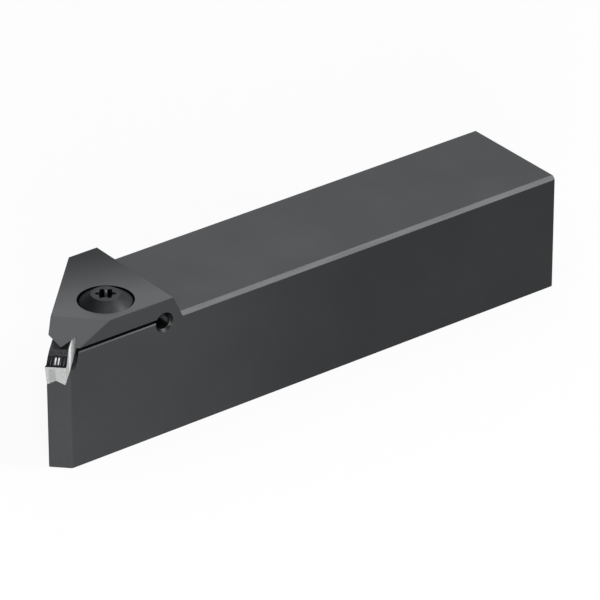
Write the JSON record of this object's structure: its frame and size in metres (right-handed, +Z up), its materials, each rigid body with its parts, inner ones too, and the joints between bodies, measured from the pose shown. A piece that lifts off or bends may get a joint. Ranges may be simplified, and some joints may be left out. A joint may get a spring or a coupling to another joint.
{
  "type": "turning tool holder",
  "caption": "Square-shank turning tool holder with a screw-clamped jaw that grips a double-ended grooving insert set at 45 degrees.",
  "frame": {"origin": "on the shank's bottom face, mid-width, in the middle of the length that a tool block grips", "axes": "+X along the shank to the rear end, the cutting end is at -X; +Y to the side away from the cutting edge; +Z up, the cutting edge is level with the shank's top"},
  "size_m": [0.125, 0.029, 0.0304],
  "materials": {
    "dark_steel": "black oxide, satin",
    "carbide": "ground, satin",
    "screw_steel": "black oxide, satin"
  },
  "bodies": {
    "holder_body": {"holder": "dark_steel", "insert": "carbide"},
    "screw_body": {"clamp_screw": "screw_steel"}
  },
  "joints": [
    {"name": "screw_turn", "type": "hinge", "parent": "holder_body", "child": "screw_body", "pos_m": [-0.0601, -0.0055, 0.025], "axis": [0, 0, 1], "range_deg": [0, 540]}
  ]
}
